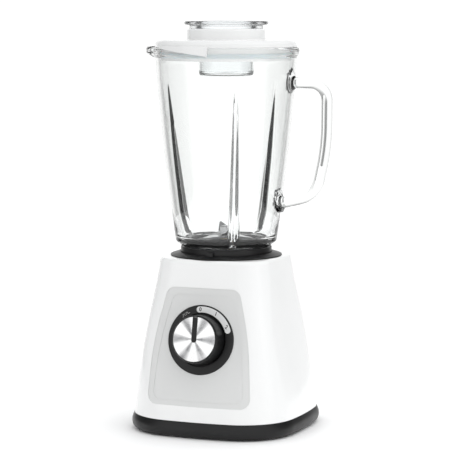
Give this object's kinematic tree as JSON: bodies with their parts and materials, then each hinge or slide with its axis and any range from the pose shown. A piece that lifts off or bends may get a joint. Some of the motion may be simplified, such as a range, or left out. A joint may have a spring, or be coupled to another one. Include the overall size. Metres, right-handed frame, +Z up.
{
  "type": "countertop blender",
  "caption": "Jug blender: clear glass jug with handle and spout on a tapered white motor base with a front speed dial; lid with lift-out measuring cap.",
  "frame": {"origin": "on the jug and motor axis at worktop level, directly below the centre of the base's flat underside", "axes": "+Z up along the jug and motor axis; the dial faces -Y, the jug's handle is along +X and its spout along -X"},
  "size_m": [0.1953, 0.1743, 0.4],
  "materials": {
    "white_plastic": "glossy white injection-moulded plastic",
    "grey_panel": "satin light-grey insert",
    "black_plastic": "satin near-black moulded plastic",
    "dark_plastic": "plain black technical plastic",
    "carrier_plastic": "satin dark-grey moulded plastic",
    "rubber": "matt black rubber",
    "seal_silicone": "translucent white silicone",
    "scale_print": "white printed strip",
    "spun_aluminium": "circular spun aluminium",
    "cast_aluminium": "pressed bracket, matt",
    "steel": "zinc-plated steel",
    "bearing_steel": "ground bearing steel",
    "blade_steel": "polished stainless steel",
    "lamination_steel": "stacked electrical steel",
    "copper_wire": "enamelled copper wire",
    "brass": "brass",
    "carbon": "carbon brush",
    "clear_glass": "thick clear glass",
    "clear_plastic": "clear plastic"
  },
  "bodies": {
    "base": {"base_housing": "white_plastic", "control_panel": "grey_panel", "jug_collar": "black_plastic", "bottom_tray": "black_plastic", "rubber_feet": "rubber", "base_screws": "steel", "cord_gland": "rubber", "dial_bezel": "black_plastic", "scale_strip": "scale_print", "speed_switch": "dark_plastic", "switch_terminals": "brass", "stator_core": "lamination_steel", "stator_coils": "copper_wire", "motor_bracket_bottom": "cast_aluminium", "motor_bracket_top": "cast_aluminium", "bearing_bottom": "bearing_steel", "bearing_top": "bearing_steel", "motor_mounts": "rubber", "mount_screws": "steel", "motor_screws": "steel", "brush_holders": "dark_plastic", "carbon_brushes": "carbon", "brush_springs": "steel", "interlock_spring": "steel", "interlock_switch": "dark_plastic"},
    "dial": {"knob_body": "black_plastic", "knob_face": "spun_aluminium", "knob_pointer": "black_plastic", "switch_shaft": "dark_plastic"},
    "rotor": {"motor_shaft": "steel", "armature_core": "lamination_steel", "armature_windings": "copper_wire", "commutator": "brass", "cooling_fan": "dark_plastic", "drive_socket": "dark_plastic"},
    "interlock": {"interlock_pin": "dark_plastic"},
    "jug": {"glass_jug": "clear_glass", "jug_handle": "clear_glass", "jug_base_ring": "black_plastic", "blade_carrier": "carrier_plastic", "jug_seal": "rubber", "blade_bush": "brass"},
    "blades": {"blade_shaft": "steel", "drive_pinion": "dark_plastic", "lower_blade": "blade_steel", "blade_spacer": "steel", "upper_blade": "blade_steel", "blade_nut": "steel"},
    "lid": {"lid": "white_plastic", "lid_seal": "seal_silicone"},
    "cap": {"measuring_cap": "clear_plastic"}
  },
  "joints": [
    {"name": "dial_turn", "type": "hinge", "parent": "base", "child": "dial", "pos_m": [0, -0.0673, 0.0943], "axis": [0, 0.9813, -0.1925], "range_deg": [-35, 63]},
    {"name": "motor_spin", "type": "hinge", "parent": "base", "child": "rotor", "pos_m": [0, 0, 0.097], "axis": [0, 0, 1], "continuous": true},
    {"name": "interlock_press", "type": "slide", "parent": "base", "child": "interlock", "axis": [0, 0, 1], "range_m": [-0.0025, 0], "stiffness_N_per_m": 300, "springref_m": 0.002, "deforming": ["interlock_spring"]},
    {"name": "jug_lift", "type": "slide", "parent": "base", "child": "jug", "axis": [0, 0, 1], "range_m": [0, 0.12]},
    {"name": "blade_spin", "type": "hinge", "parent": "jug", "child": "blades", "pos_m": [0, 0, 0.185], "axis": [0, 0, 1], "continuous": true},
    {"name": "lid_lift", "type": "slide", "parent": "jug", "child": "lid", "axis": [0, 0, 1], "range_m": [0, 0.06]},
    {"name": "cap_lift", "type": "slide", "parent": "lid", "child": "cap", "axis": [0, 0, 1], "range_m": [0, 0.065]}
  ],
  "couplings": [
    {"joint": "blade_spin", "follows": "motor_spin", "ratio": 1}
  ]
}
